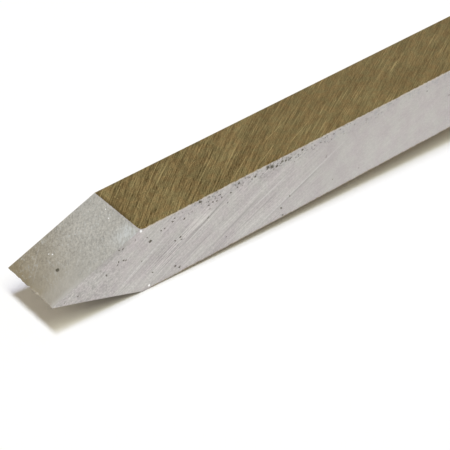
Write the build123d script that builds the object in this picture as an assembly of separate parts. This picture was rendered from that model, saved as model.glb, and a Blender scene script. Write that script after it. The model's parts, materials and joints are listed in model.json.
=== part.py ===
# Beading and parting tool for wood turning. A square bar of high-speed steel has two
# bevels that meet in a straight cutting edge. Its round tang is glued into a turned
# wooden handle, and a brass ferrule keeps the front of the handle from splitting.
#
# Every piece is drawn lying along X, from the cutting edge at x = 0 towards the butt of
# the handle, with Z up. The tool is then laid down as it comes to rest: on the heel of
# its lower bevel and on the belly of its handle. All sizes are in millimetres.
from build123d import *
import os
from math import atan, degrees, hypot, radians, sqrt, tan

# Blade
bar_width = 9.6
bar_height = 10.0
arris_radius = 0.2  # the bar's long edges, just eased after grinding
bevel_length = 13.6  # along the tool, from the cutting edge to the heel of each bevel
blade_reach = 160.0  # from the cutting edge to the front of the ferrule
corner_land_diameter = 12.4  # the bar's corners are turned down to this by the shoulder
corner_land_length = 1.5
tang_diameter = 8.0
tang_length = 55.0
tang_root_radius = 0.6
shoulder_flat = 0.1  # least flat left between the tang's fillet and the bar's side
tang_tip_chamfer = 1.5

# Ferrule
ferrule_bore = 20.0
ferrule_wall = 1.5
ferrule_length = 26.0
ferrule_lip_radius = 0.9  # outside of the front edge, rounded over
ferrule_edge_chamfer = 0.3  # the other three edges
ferrule_clearance = 0.02  # radial, on the tenon of the handle

# Handle
tenon_recess = 0.5  # the wood stops this far inside the front of the ferrule
tenon_chamfer = 0.6
collar_diameter = 26.8
collar_length = 12.0
collar_round = 1.4
belly_diameter = 37.0
belly_distance = 80.0  # from the end of the collar
waist_diameter = 26.4
waist_distance = 82.0  # from the belly
pommel_diameter = 31.0
pommel_distance = 38.0  # from the waist
butt_edge_radius = 9.0  # where the pommel turns into the butt
butt_crown_radius = 24.0  # of the low dome that ends the handle
groove_count = 2
groove_spacing = 4.0
groove_width = 1.6
groove_depth = 0.8
tang_clearance = 0.05  # radial, filled with glue
glue_room = 3.0  # drilled depth past the end of the tang
drill_point_angle = 118.0

# Places along the tool, measured from the cutting edge
ferrule_front = blade_reach
tenon_face = ferrule_front + tenon_recess
collar_face = ferrule_front + ferrule_length
collar_end = collar_face + collar_length
belly_place = collar_end + belly_distance
waist_place = belly_place + waist_distance
pommel_place = waist_place + pommel_distance
tang_end = tenon_face + tang_length

# Radii of the turned pieces
tang_radius = tang_diameter / 2
ferrule_inside = ferrule_bore / 2
ferrule_outside = ferrule_inside + ferrule_wall
collar_radius = collar_diameter / 2
belly_radius = belly_diameter / 2
waist_radius = waist_diameter / 2
pommel_radius = pommel_diameter / 2


def turned(*outline):
    # A closed outline, x along the tool and z the radius, turned about X
    return revolve(Plane.XZ * make_face(outline), Axis.X)


def swell(start, end):
    # Two equal arcs between two places on the handle, parallel to X at both of them
    middle = ((start[0] + end[0]) / 2, (start[1] + end[1]) / 2)
    leaving = TangentArc(start, middle, tangent=(1, 0))
    return [leaving, TangentArc(middle, end, tangent=leaving % 1)]


def butt():
    # An arc round the pommel's edge, then a flatter one that crosses the axis squarely.
    # The flatter arc's centre is on the axis, and the two arcs touch on the line
    # through both centres.
    apart = butt_crown_radius - butt_edge_radius
    edge_height = pommel_radius - butt_edge_radius
    setback = sqrt(apart**2 - edge_height**2)
    share = butt_edge_radius / apart
    meeting = (pommel_place + setback * share, edge_height * (1 + share))
    end = (pommel_place - setback + butt_crown_radius, 0)
    edge = TangentArc((pommel_place, pommel_radius), meeting, tangent=(1, 0))
    return [edge, TangentArc(meeting, end, tangent=edge % 1), Line(end, (tenon_face, 0))]


# The handle's outline from the collar to the pommel
swells = [
    *swell((collar_end, collar_radius), (belly_place, belly_radius)),
    *swell((belly_place, belly_radius), (waist_place, waist_radius)),
    *swell((waist_place, waist_radius), (pommel_place, pommel_radius)),
]


def make_bar():
    # The square bar, as far as the shoulder that seats on the wood
    section = Plane.YZ * RectangleRounded(bar_width, bar_height, arris_radius)
    bar = extrude(section, tenon_face)

    # Seen from the side, the two bevels leave a point half way up the bar
    side_view = Polyline(
        (0, 0),
        (bevel_length, bar_height / 2),
        (tenon_face, bar_height / 2),
        (tenon_face, -bar_height / 2),
        (bevel_length, -bar_height / 2),
        close=True,
    )
    bar &= extrude(Plane.XZ * make_face(side_view), bar_width, both=True)

    # Turning the tang also takes the bar's four corners down, just short of the wood
    land_start = tenon_face - corner_land_length
    full_radius = hypot(bar_width, bar_height)
    bar &= turned(
        Polyline(
            (0, 0),
            (0, full_radius),
            (land_start, full_radius),
            (land_start, corner_land_diameter / 2),
            (tenon_face, corner_land_diameter / 2),
            (tenon_face, 0),
            close=True,
        )
    )
    return bar


def root_radius():
    # The fillet at the tang's root stays on the shoulder where that is narrowest
    step = (min(bar_width, bar_height) - tang_diameter) / 2
    return min(tang_root_radius, step - shoulder_flat)


def make_tang():
    root = root_radius()
    root_start = (tenon_face, tang_radius + root)
    root_end = (tenon_face + root, tang_radius)
    return turned(
        Line((tenon_face, 0), root_start),
        RadiusArc(root_start, root_end, -root),
        Polyline(
            root_end,
            (tang_end - tang_tip_chamfer, tang_radius),
            (tang_end, tang_radius - tang_tip_chamfer),
            (tang_end, 0),
            (tenon_face, 0),
        ),
    )


def make_ferrule():
    # A length of drawn tube, its front edge rounded over and the others broken
    tube = turned(
        Polyline(
            (ferrule_front, ferrule_inside),
            (ferrule_front, ferrule_outside),
            (collar_face, ferrule_outside),
            (collar_face, ferrule_inside),
            close=True,
        )
    )
    rims = tube.edges().filter_by(GeomType.CIRCLE)
    lip = rims.sort_by(Axis.X)[:2].sort_by(SortBy.RADIUS)[-1]
    tube = fillet(lip, ferrule_lip_radius)
    rims = tube.edges().filter_by(GeomType.CIRCLE)
    inner_rims = rims.sort_by(SortBy.RADIUS)[:2]
    back_rim = rims.sort_by(Axis.X)[-2:].sort_by(SortBy.RADIUS)[-1]
    return chamfer([*inner_rims, back_rim], ferrule_edge_chamfer)


def make_groove(place):
    # A V cut into the collar, drawn on past the wood so that it opens cleanly
    bottom = collar_radius - groove_depth
    opening = collar_radius + groove_depth
    return turned(
        Polyline(
            (place, bottom),
            (place + groove_width, opening),
            (place - groove_width, opening),
            close=True,
        )
    )


def make_bore():
    # The drilled hole for the tang, countersunk to clear the fillet at its root
    radius = tang_radius + tang_clearance
    sink = root_radius() + tang_clearance
    bottom = tang_end + glue_room
    point_length = radius / tan(radians(drill_point_angle / 2))
    return turned(
        Polyline(
            (tenon_face, 0),
            (tenon_face, radius + sink),
            (tenon_face + sink, radius),
            (bottom, radius),
            (bottom + point_length, 0),
            close=True,
        )
    )


def make_handle():
    tenon_radius = ferrule_inside - ferrule_clearance
    round_start = (collar_face, collar_radius - collar_round)
    round_end = (collar_face + collar_round, collar_radius)
    blank = turned(
        Polyline(
            (tenon_face, 0),
            (tenon_face, tenon_radius - tenon_chamfer),
            (tenon_face + tenon_chamfer, tenon_radius),
            (collar_face, tenon_radius),
            round_start,
        ),
        RadiusArc(round_start, round_end, collar_round),
        Line(round_end, (collar_end, collar_radius)),
        *swells,
        *butt(),
    )
    grooves = [make_groove(collar_end - i * groove_spacing) for i in range(groove_count)]
    return blank - grooves - make_bore()


def rest_angle():
    # The floor passes through the heel of the lower bevel and touches whatever stands
    # out most behind it, so its slope is the steepest from the heel to any such place.
    samples = 400
    places = [arc @ (i / samples) for arc in swells for i in range(samples + 1)]
    places.append(Vector(ferrule_front + ferrule_lip_radius, ferrule_outside))
    places.append(Vector(collar_face + collar_round, collar_radius))
    slopes = [(at.Y - bar_height / 2) / (at.X - bevel_length) for at in places]
    return degrees(atan(max(slopes)))


def laid_down(pieces):
    # Raises the handle by the rest angle, and puts the origin on the floor under the
    # middle of the tool
    tipped = {name: Rot(0, -rest_angle(), 0) * piece for name, piece in pieces.items()}
    box = Compound(list(tipped.values())).bounding_box()
    to_origin = Pos(-box.center().X, -box.center().Y, -box.min.Z)
    return {name: to_origin * piece for name, piece in tipped.items()}


tool = laid_down(
    {
        "blade": make_bar() + make_tang(),
        "ferrule": make_ferrule(),
        "handle": make_handle(),
    }
)
os.makedirs("parts", exist_ok=True)
for name, piece in tool.items():
    piece.label = name
    export_step(piece, f"parts/{name}.step")
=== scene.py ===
import json
from math import radians

import bmesh
import bpy
import numpy as np
from mathutils import Matrix, Vector


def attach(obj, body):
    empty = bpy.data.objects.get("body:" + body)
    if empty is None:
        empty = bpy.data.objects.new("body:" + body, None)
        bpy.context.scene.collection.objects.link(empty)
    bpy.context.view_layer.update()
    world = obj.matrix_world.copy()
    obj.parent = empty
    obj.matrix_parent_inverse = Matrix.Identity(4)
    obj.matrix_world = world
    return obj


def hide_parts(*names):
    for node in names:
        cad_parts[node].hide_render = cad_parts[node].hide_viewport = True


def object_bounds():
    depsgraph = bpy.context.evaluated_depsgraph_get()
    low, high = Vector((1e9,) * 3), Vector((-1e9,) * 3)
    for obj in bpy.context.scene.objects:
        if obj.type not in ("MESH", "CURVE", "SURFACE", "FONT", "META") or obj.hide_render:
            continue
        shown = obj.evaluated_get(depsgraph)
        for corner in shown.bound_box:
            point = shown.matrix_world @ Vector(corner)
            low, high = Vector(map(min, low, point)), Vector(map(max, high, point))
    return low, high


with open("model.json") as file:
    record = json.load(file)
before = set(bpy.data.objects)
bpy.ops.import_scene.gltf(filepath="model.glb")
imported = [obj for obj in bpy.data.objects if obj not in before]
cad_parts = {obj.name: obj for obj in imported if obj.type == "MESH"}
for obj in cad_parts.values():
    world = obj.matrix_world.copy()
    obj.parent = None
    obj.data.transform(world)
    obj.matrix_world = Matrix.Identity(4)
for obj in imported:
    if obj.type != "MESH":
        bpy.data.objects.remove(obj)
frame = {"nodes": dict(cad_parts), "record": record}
cadLow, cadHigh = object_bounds()
millimetre = 0.001
slack = 1e-3  # mm, within which two places count as the same

# Lengths below are in millimetres in the tool's own space: x runs from the cutting edge
# along the bar's axis towards the butt, y goes across and z away from the floor.


def readToolSpace():
    # The axis comes from the ferrule's seat, and the tip from the blade's foremost points
    mounts = {mount["name"]: mount for mount in frame["record"]["mounts"]}
    along = -Vector(mounts["ferrule_seat"]["axis"])
    across = Vector((0, 1, 0))
    turn = Matrix((along, across, along.cross(across))).transposed()
    corners = np.array([v.co for v in frame["nodes"]["blade"].data.vertices])
    reach = corners @ np.array(along)
    tip = corners[reach < reach.min() + slack * millimetre].mean(0)
    return turn, Vector(tip)


toolTurn, toolTip = readToolSpace()


def toTool(node):
    # A CAD node's corners, carried back into tool space
    corners = np.array([v.co for v in frame["nodes"][node].data.vertices])
    return (corners - np.array(toolTip)) @ np.array(toolTurn) / millimetre


def toFrame(points):
    # Tool space carried into the frame: turned by the rest angle, moved to the tip
    return points * millimetre @ np.array(toolTurn).T + np.array(toolTip)


print("frame read: tip at", [round(v / millimetre, 3) for v in toolTip], "mm")


# Meshes

sharpFrom = radians(18)  # a crease this steep or steeper stays sharp
mergeWithin = 1e-7  # metres


def gridFaces(rows, columns, closed):
    # Four-sided faces of a grid that wraps round its columns, and its rows too if closed
    row = np.arange(rows if closed else rows - 1)[:, None]
    column = np.arange(columns)[None, :]
    nextRow = (row + 1) % rows * columns
    nextColumn = (column + 1) % columns
    here = row * columns
    faces = np.stack(
        [here + column, here + nextColumn, nextRow + nextColumn, nextRow + column],
        axis=-1,
    )
    return faces.reshape(-1, 4)


def makePiece(name, grid, material, closed=False):
    # grid is rows by columns by 3, in tool space; doubled points at poles are merged, and
    # points are kept inside the box of the CAD parts, whose curves are faceted
    rows, columns = grid.shape[:2]
    points = np.clip(toFrame(grid.reshape(-1, 3)), cadLow, cadHigh)
    mesh = bpy.data.meshes.new(name)
    mesh.from_pydata(points.tolist(), [], gridFaces(rows, columns, closed).tolist())
    shape = bmesh.new()
    shape.from_mesh(mesh)
    bmesh.ops.remove_doubles(shape, verts=shape.verts, dist=mergeWithin)
    bmesh.ops.recalc_face_normals(shape, faces=shape.faces)
    shape.to_mesh(mesh)
    shape.free()
    mesh.shade_smooth()
    mesh.set_sharp_from_angle(angle=sharpFrom)
    piece = bpy.data.objects.new(name, mesh)
    bpy.context.scene.collection.objects.link(piece)
    mesh.materials.append(material)
    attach(piece, "root")
    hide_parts(name.split(".")[0])
    print("made", name, len(mesh.polygons), "faces")


def profile(x, r):
    # Places along the axis and the radii there, as the rows of an outline
    return np.stack(np.broadcast_arrays(x, r), axis=1)


def turnedGrid(outline, columns):
    # Each (x, r) of the outline goes round the axis: y = r cos a, z = r sin a
    angle = np.arange(columns) * 2 * np.pi / columns
    x, r = outline[:, 0, None], outline[:, 1, None]
    return np.stack([x + 0 * angle, r * np.cos(angle), r * np.sin(angle)], axis=-1)


def smoothRise(value, low, high):
    # 0 below low, 1 above high, and 3t^2 - 2t^3 in between
    t = np.clip((value - low) / (high - low), 0, 1)
    return t * t * (3 - 2 * t)


def ripple(x, waves, seed):
    # A sum of sines of random phase, from -1 to 1; waves are wavelengths
    random = np.random.default_rng(seed)
    phases = random.uniform(0, 2 * np.pi, len(waves))
    sines = [np.sin(2 * np.pi * x / w + p) for w, p in zip(waves, phases)]
    return sum(sines) / len(sines)


# Node helpers


def feed(tree, socket, value):
    # A socket takes another node's output, or a plain value
    if isinstance(value, bpy.types.NodeSocket):
        tree.links.new(value, socket)
    else:
        socket.default_value = value


def put(tree, kind, inputs=None, **settings):
    made = tree.nodes.new("ShaderNode" + kind)
    for name, value in settings.items():
        setattr(made, name, value)
    for socket, value in (inputs or {}).items():
        feed(tree, made.inputs[socket], value)
    return made


def calc(tree, operation, *values):
    made = put(tree, "Math", operation=operation)
    for socket, value in zip(made.inputs, values):
        feed(tree, socket, value)
    return made.outputs[0]


def rise(tree, value, low, high, bottom=0.0, top=1.0):
    # Smooth step from bottom to top as the value goes from low to high
    steps = {"Value": value, "From Min": low, "From Max": high, "To Min": bottom, "To Max": top}
    return put(tree, "MapRange", steps, interpolation_type="SMOOTHSTEP", clamp=False).outputs[0]


def tint(tree, share, under, over, mode="MIX"):
    # Two colours mixed by a share: sockets 0, 6 and 7 are the share and the colours
    made = put(tree, "Mix", data_type="RGBA", blend_type=mode)
    for socket, value in ((0, share), (6, under), (7, over)):
        feed(tree, made.inputs[socket], value)
    return made.outputs[2]


def vector(tree, operation, *values):
    made = put(tree, "VectorMath", operation=operation)
    for socket, value in zip(made.inputs, values):
        feed(tree, socket, value)
    return made.outputs["Value" if operation in ("LENGTH", "DISTANCE") else "Vector"]


def parts(tree, value):
    return put(tree, "SeparateXYZ", {0: value}).outputs


def joined(tree, x, y, z):
    return put(tree, "CombineXYZ", {0: x, 1: y, 2: z}).outputs[0]


def channels(tree, colour):
    # Three random values from a texture's colour
    return put(tree, "SeparateColor", {0: colour}).outputs


def grey(tree, value):
    return put(tree, "CombineColor", {0: value, 1: value, 2: value}).outputs[0]


def paint(red, green, blue):
    # A colour named as it is seen on a screen, 0 to 255, in the renderer's linear values
    seen = np.array([red, green, blue]) / 255
    linear = np.where(seen <= 0.04045, seen / 12.92, ((seen + 0.055) / 1.055) ** 2.4)
    return (*linear.tolist(), 1.0)


def newMaterial(name):
    material = bpy.data.materials.new(name)
    material.use_nodes = True
    tree = material.node_tree
    return material, tree, tree.nodes["Principled BSDF"]


def dress(tree, shader, colour, roughness, height, depth, strength=1.0):
    # The shader gets its colour, roughness and relief, which is depth mm for a height of 1
    relief = {"Height": height, "Distance": depth * millimetre, "Strength": strength}
    tree.links.new(colour, shader.inputs["Base Color"])
    tree.links.new(roughness, shader.inputs["Roughness"])
    tree.links.new(put(tree, "Bump", relief).outputs[0], shader.inputs["Normal"])


def toolPlace(tree):
    # Object coordinates turned back into tool space, in millimetres
    settings = {
        "Vector": put(tree, "TexCoord").outputs["Object"],
        "Location": toolTip,
        "Rotation": toolTurn.to_euler(),
        "Scale": (millimetre,) * 3,
    }
    return put(tree, "Mapping", settings, vector_type="TEXTURE").outputs[0]


def newGroup(name, inputs, outputs):
    # A node group with named float or vector inputs and float outputs
    tree = bpy.data.node_groups.new(name, "ShaderNodeTree")
    for label, start in inputs.items():
        kind = "NodeSocketVector" if start is None else "NodeSocketFloat"
        socket = tree.interface.new_socket(label, in_out="INPUT", socket_type=kind)
        if start is not None:
            socket.default_value = start
    for label in outputs:
        tree.interface.new_socket(label, in_out="OUTPUT", socket_type="NodeSocketFloat")
    return tree, tree.nodes.new("NodeGroupInput").outputs, tree.nodes.new("NodeGroupOutput").inputs


def useGroup(tree, group, **values):
    made = put(tree, "Group", node_tree=group)
    for label, value in values.items():
        feed(tree, made.inputs[label], value)
    return made.outputs


def makeStreaks():
    # Noise drawn out along one direction: Place is turned by Angle about Z, bent a little,
    # then divided by Length along the streak and by Width across it and in depth
    tree, given, result = newGroup(
        "streaks",
        {
            "Place": None,
            "Angle": 0.0,
            "Length": 4.0,
            "Width": 0.2,
            "Bend": 0.0,
            "Low": 0.3,
            "High": 0.7,
        },
        ["Streaks"],
    )
    turned = put(
        tree,
        "VectorRotate",
        {"Vector": given["Place"], "Angle": calc(tree, "MULTIPLY", given["Angle"], -1.0)},
        rotation_type="Z_AXIS",
    ).outputs[0]
    wander = put(tree, "TexNoise", {"Vector": turned, "Scale": 0.12, "Detail": 1.0}).outputs[0]
    sway = calc(tree, "MULTIPLY", calc(tree, "SUBTRACT", wander, 0.5), given["Bend"])
    along, across, depth = parts(tree, turned)
    run = joined(
        tree,
        calc(tree, "DIVIDE", along, given["Length"]),
        calc(tree, "DIVIDE", calc(tree, "ADD", across, sway), given["Width"]),
        calc(tree, "DIVIDE", depth, given["Width"]),
    )
    noise = put(tree, "TexNoise", {"Vector": run, "Scale": 1.0, "Detail": 2.0, "Roughness": 0.6})
    feed(tree, result["Streaks"], rise(tree, noise.outputs[0], given["Low"], given["High"]))
    return tree


def makeSpecks():
    # Ragged dots, one to a cell: a cell has a dot if its random number is under Share,
    # and the dot's radius is 0.3 to 1 times Size, as a part of the cell
    tree, given, result = newGroup(
        "specks",
        {"Place": None, "Spacing": 1.0, "Size": 0.3, "Share": 0.3, "Ragged": 0.2},
        ["Specks"],
    )
    scaled = vector(tree, "DIVIDE", given["Place"], joined(tree, *[given["Spacing"]] * 3))
    jitter = put(tree, "TexNoise", {"Vector": scaled, "Scale": 4.0, "Detail": 1.0}).outputs["Color"]
    jitter = joined(tree, *channels(tree, jitter))
    shift = vector(tree, "SCALE", vector(tree, "SUBTRACT", jitter, (0.5, 0.5, 0.5)))
    feed(tree, shift.node.inputs["Scale"], given["Ragged"])
    cells = put(tree, "TexVoronoi", {"Vector": vector(tree, "ADD", scaled, shift), "Scale": 1.0})
    chance, girth, _ = channels(tree, cells.outputs["Color"])
    radius = calc(tree, "MULTIPLY", given["Size"], calc(tree, "MULTIPLY_ADD", girth, 0.7, 0.3))
    dot = rise(tree, cells.outputs["Distance"], radius, calc(tree, "MULTIPLY", radius, 0.5))
    present = calc(tree, "LESS_THAN", chance, given["Share"])
    feed(tree, result["Specks"], calc(tree, "MULTIPLY", dot, present))
    return tree


def makeClouds():
    # Soft uneven patches of about Size across
    tree, given, result = newGroup(
        "clouds", {"Place": None, "Size": 3.0, "Low": 0.35, "High": 0.65}, ["Clouds"]
    )
    scaled = vector(tree, "DIVIDE", given["Place"], joined(tree, *[given["Size"]] * 3))
    noise = put(tree, "TexNoise", {"Vector": scaled, "Scale": 1.0, "Detail": 3.0, "Roughness": 0.55})
    feed(tree, result["Clouds"], rise(tree, noise.outputs[0], given["Low"], given["High"]))
    return tree


streaks = makeStreaks()
specks = makeSpecks()
clouds = makeClouds()


# Blade

blade = {
    "arrises": (0.03, 0.11, 0.02, 0.1),  # radii: far top, near top, near low, far low
    "bevelArris": 0.03,  # the bevels' own edges, fresh from the grinder
    "arrisUneven": 0.2,  # how far the radius of a long edge wanders, as a share
    "arrisWaves": (1.1, 2.3, 5.9, 13),  # lengths of its waves
    "arrisShift": 17,  # how much further along they start from one arris to the next
    "arrisStart": 0.6,  # the arrises grow over this much on either side of the heel
    "edgeLift": 0.1,  # the cutting edge climbs this much towards its far end
    "edgeRipple": 0.03,  # the cutting edge's own wear
    "edgeWaves": (0.45, 0.9, 2.9),
    "lowHollow": 0.07,  # of the lower bevel, half way along
    # A rubbed near top corner, given as the chips are, its place measured from the heel
    "cornerRub": (0.1, 0.7, 0.5),
    "faceWave": 0.012,  # hollows and rises left by hand grinding
    "faceWaves": (9.0, 14.0, 23.0),
    "faceSlant": 2.1,  # how far those lean along the blade for each mm up
    "fineEnd": 16.0,  # stations are closest up to here
    "fineStep": 0.2,
    "seenEnd": 76.0,
    "seenStep": 0.35,
    "heelStep": 0.02,
    "plainStep": 1.2,
    "landDiameter": 12.4,
    "landLength": 1.5,
    "tangDiameter": 8.0,
    "tangRoot": 0.6,
    "rootStations": 7,
    "tangChamfer": 1.5,
    "flatDivisions": (84, 24, 84, 24),  # top, near side, bottom, far side
    "crowding": 0.25,  # how much closer the columns stand towards the arrises
    "cornerDivisions": 6,
}
# Chips out of the near top arris: place along the blade, half length, extra radius
arrisChips = [
    (22.9, 0.35, 0.30),
    (19.1, 0.25, 0.16),
    (26.3, 0.3, 0.14),
    (34.6, 0.8, 0.28),
    (37.2, 0.5, 0.2),
]
# Nicks in the cutting edge: place across it, half width, depth
edgeNicks = [
    (3.4, 0.3, 0.05),
    (2.1, 0.25, 0.06),
    (0.25, 0.14, 0.24),
    (-0.35, 0.22, 0.12),
    (-1.0, 0.2, 0.1),
    (-1.9, 0.17, 0.22),
    (-2.5, 0.25, 0.12),
    (-3.1, 0.16, 0.22),
    (-3.6, 0.2, 0.12),
    (-4.1, 0.17, 0.24),
    (-4.6, 0.14, 0.1),
]


def bladeSizes():
    # The CAD blade's half width and half height, and its places along the axis
    x, y, z = toTool("blade").T
    halfWidth = np.abs(y).max()
    halfHeight = np.abs(z).max()
    return {
        "halfWidth": halfWidth,
        "halfHeight": halfHeight,
        "heel": x[np.abs(z) > halfHeight - slack].min(),
        "shoulder": x[np.hypot(y, z) > halfWidth].max(),
        "tangEnd": x.max(),
    }


bar = bladeSizes()


def bump(x, centre, halfLength):
    return np.exp(-(((x - centre) / halfLength) ** 2))


def makeBladeGrid():
    # Rings of a rectangle with round corners, carried along x. The half height is
    # x tan(bevel angle) up to the heel, so the two bevels leave a wedge. Behind the
    # shoulder the rings are circles, for the tang.
    halfWidth, halfHeight, heel = bar["halfWidth"], bar["halfHeight"], bar["heel"]
    shoulder, tangEnd = bar["shoulder"], bar["tangEnd"]
    slope = halfHeight / heel
    landStart = shoulder - blade["landLength"]
    landRadius = blade["landDiameter"] / 2
    x = np.concatenate(
        [
            np.arange(0, blade["fineEnd"], blade["fineStep"]),
            [heel - blade["heelStep"], heel, heel + blade["heelStep"]],
            np.arange(blade["fineEnd"], blade["seenEnd"], blade["seenStep"]),
            np.arange(blade["seenEnd"], landStart, blade["plainStep"]),
            [landStart],
        ]
    )
    x = np.unique(np.round(x, 4))[:, None]
    height = np.minimum(halfHeight, x * slope)

    corner = np.repeat(np.arange(4), blade["cornerDivisions"] + 1)[None, :]
    turn = np.tile(np.linspace(0, 1, blade["cornerDivisions"] + 1), 4)[None, :]
    angle = (corner + turn) * np.pi / 2
    signY = np.where((corner == 0) | (corner == 3), 1, -1)
    signZ = np.where(corner < 2, 1, -1)
    shifted = x + blade["arrisShift"] * corner
    uneven = 1 + blade["arrisUneven"] * ripple(shifted, blade["arrisWaves"], seed=3)
    eased = np.array(blade["arrises"])[corner] * uneven
    onBar = smoothRise(x, heel - blade["arrisStart"], heel + blade["arrisStart"])
    radius = blade["bevelArris"] * (1 - onBar) + np.minimum(eased, 1) * onBar
    nearTop = corner == 1
    rubPlace, rubLength, rubExtra = blade["cornerRub"]
    for place, halfLength, extra in [*arrisChips, (heel + rubPlace, rubLength, rubExtra)]:
        radius = radius + nearTop * extra * bump(x, place, halfLength)
    radiusZ = np.minimum(radius, height)
    ringY = signY * (halfWidth - radius) + radius * np.cos(angle)
    ringZ = signZ * (height - radiusZ) + radiusZ * np.sin(angle)

    width = blade["cornerDivisions"] + 1
    crowd = blade["crowding"]
    columnsY, columnsZ = [], []
    for side in range(4):
        share = np.linspace(0, 1, blade["flatDivisions"][side] + 1)[1:-1]
        share = (1 - crowd) * share + crowd / 2 * (1 - np.cos(np.pi * share))
        first, last = side * width, side * width + width - 1
        following = (side + 1) % 4 * width
        columnsY += [ringY[:, first : last + 1]]
        columnsZ += [ringZ[:, first : last + 1]]
        columnsY += [ringY[:, last, None] * (1 - share) + ringY[:, following, None] * share]
        columnsZ += [ringZ[:, last, None] * (1 - share) + ringZ[:, following, None] * share]
    y = np.concatenate(columnsY, axis=1)
    z = np.concatenate(columnsZ, axis=1)

    # A nick moves the front of the blade back, and its bevels' faces out to suit
    nick = sum(depth * bump(y, place, half) for place, half, depth in edgeNicks)
    nick = nick + blade["edgeRipple"] * (1 + ripple(y, blade["edgeWaves"], seed=8))
    front = np.maximum(0, nick - x)
    alongX = x + front
    onFace = np.abs(z) > 0.98 * height  # not on the sides
    z = z + np.sign(z) * front * slope * onFace

    # The edge climbs, the lower bevel is hollow, and the sides are waved
    along = np.clip(x / heel, 0, 1)
    z = z + blade["edgeLift"] * (1 - along) * (y / halfWidth + 1) / 2
    lower = (z < 0) * np.minimum(1, -z / height.clip(0.1))  # fades out up the sides
    z = z + blade["lowHollow"] * 4 * along * (1 - along) * lower
    waves = ripple(x + blade["faceSlant"] * z, blade["faceWaves"], seed=5)
    inward = blade["faceWave"] * (1 + waves) / 2
    y = y - np.sign(y) * inward * (np.abs(y) > halfWidth - slack)

    # The first ring is folded flat along the cutting edge: its lower half takes the upper
    # half's points, and its ends close up
    shown = np.stack([alongX, y, z], axis=-1)
    topCount = 2 * width + blade["flatDivisions"][0] - 1
    edge = shown[0, :topCount]
    nearEnd = np.repeat(edge[-1:], blade["flatDivisions"][1] - 1, axis=0)
    farEnd = np.repeat(edge[:1], blade["flatDivisions"][3] - 1, axis=0)
    shown[0] = np.concatenate([edge, nearEnd, edge[::-1], farEnd])

    # The land, the shoulder and the tang
    around = np.arctan2(z[-1], y[-1])
    radiusHere = np.minimum(np.hypot(y[-1], z[-1]), landRadius)
    tangRadius = blade["tangDiameter"] / 2
    root = blade["tangRoot"]
    bend = np.linspace(0, np.pi / 2, blade["rootStations"])
    tangEndX = tangEnd - blade["tangChamfer"]
    behind = [(landStart, radiusHere), (shoulder, radiusHere)]
    behind += [
        (shoulder + root * (1 - np.cos(b)), tangRadius + root * (1 - np.sin(b))) for b in bend
    ]
    behind += [(tangEndX, tangRadius), (tangEnd, tangRadius - blade["tangChamfer"]), (tangEnd, 0)]
    rings = [
        np.stack([np.full_like(around, at), r * np.cos(around), r * np.sin(around)], axis=-1)
        for at, r in behind
    ]
    return np.concatenate([shown, np.stack(rings)])


bladeFinish = {
    "side": paint(186, 182, 180),
    "sideLight": paint(204, 202, 199),
    "sideDark": paint(150, 148, 143),
    "pinker": (1.014, 0.99, 0.995, 1.0),  # the side's colour is multiplied by one of these
    "sallower": (0.99, 1.004, 0.975, 1.0),
    "mottle": paint(164, 163, 165),
    "bevel": paint(178, 175, 167),
    "bevelPale": paint(203, 206, 204),
    "lowerBright": paint(205, 196, 178),  # the lower bevel by the cutting edge
    # painted shade for the wedge between the lower bevel and the floor
    "lowerPaintedShade": paint(50, 45, 33),  # and towards its heel
    "straw": paint(129, 113, 76),
    "filmPale": paint(155, 137, 93),
    "filmDark": paint(80, 65, 33),
    # partly the scratches' own colour, partly painted glints
    "filmGlintGold": paint(190, 170, 118),
    "redder": (1.055, 0.98, 0.93, 1.0),  # the film's colour is multiplied by one of these
    "greener": (0.97, 1.01, 1.0, 1.0),
    # a painted highlight colour, for the near top arris and the cutting edge
    "paintedEdgeLight": paint(216, 207, 192),
    # a painted highlight colour, for glints
    "paintedGlint": paint(252, 252, 250),
    "pit": paint(92, 88, 72),
    "steelRoughness": 0.42,
    "filmRoughness": 0.5,
    "pitRoughness": 0.3,  # added in the pits
    "ragged": 0.1,  # how far the side's finish breaks into the bevels'
    "filmMargin": (-0.02, 0.04),  # how far the film stops short of a ground face
    "filmCorner": 0.8,  # radius of the film's near front corner
    "scratchTail": 0.3,  # the part of a scratch that is faint at each end
    "pitShake": 0.5,  # how ragged the large pits are
    "pitCore": 0.35,  # the part of a pit's radius that is fully deep
    "pitShade": 0.85,
    "pitDepth": 0.05,  # mm
    "grooveShare": 0.15,  # of that, for the grinding lines
    "glintCore": 0.4,  # the part of a bright spot's radius that is fully bright
}

# Strokes that the grinding left: how far they lean from the grinding lines in radians,
# length, width, the noise values where they begin and are full, and how far they bend
strokes = {
    "filmShort": (0.06, 1.3, 0.13, 0.36, 0.64, 0.5),
    "filmSteep": (0.3, 0.7, 0.12, 0.36, 0.64, 0.5),
    "filmLong": (0.0, 10.0, 0.15, 0.36, 0.64, 0.3),
    "filmBroad": (0.0, 9.0, 2.4, 0.3, 0.7, 0.5),
    "filmHairs": (0.0, 8.0, 0.14, 0.58, 0.68, 0.2),
    "sideFine": (0.0, 6.0, 0.2, 0.38, 0.62, 0.3),
    "sideThin": (0.03, 14.0, 0.2, 0.4, 0.6, 0.3),
    "sideSoft": (0.0, 20.0, 1.2, 0.3, 0.7, 0.6),
    "sideShort": (0.2, 1.2, 0.22, 0.36, 0.64, 0.5),
    "sideCross": (1.4, 2.0, 0.22, 0.62, 0.74, 0.3),
    "bevelFine": (0.3, 0.6, 0.24, 0.36, 0.64, 1.5),
    "bevelLong": (0.0, 5.0, 0.26, 0.36, 0.64, 0.3),
    "bevelVeins": (0.5, 0.9, 0.26, 0.54, 0.68, 2.0),
    "bevelFront": (0.0, 3.0, 0.5, 0.3, 0.7, 0.5),
}
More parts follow.
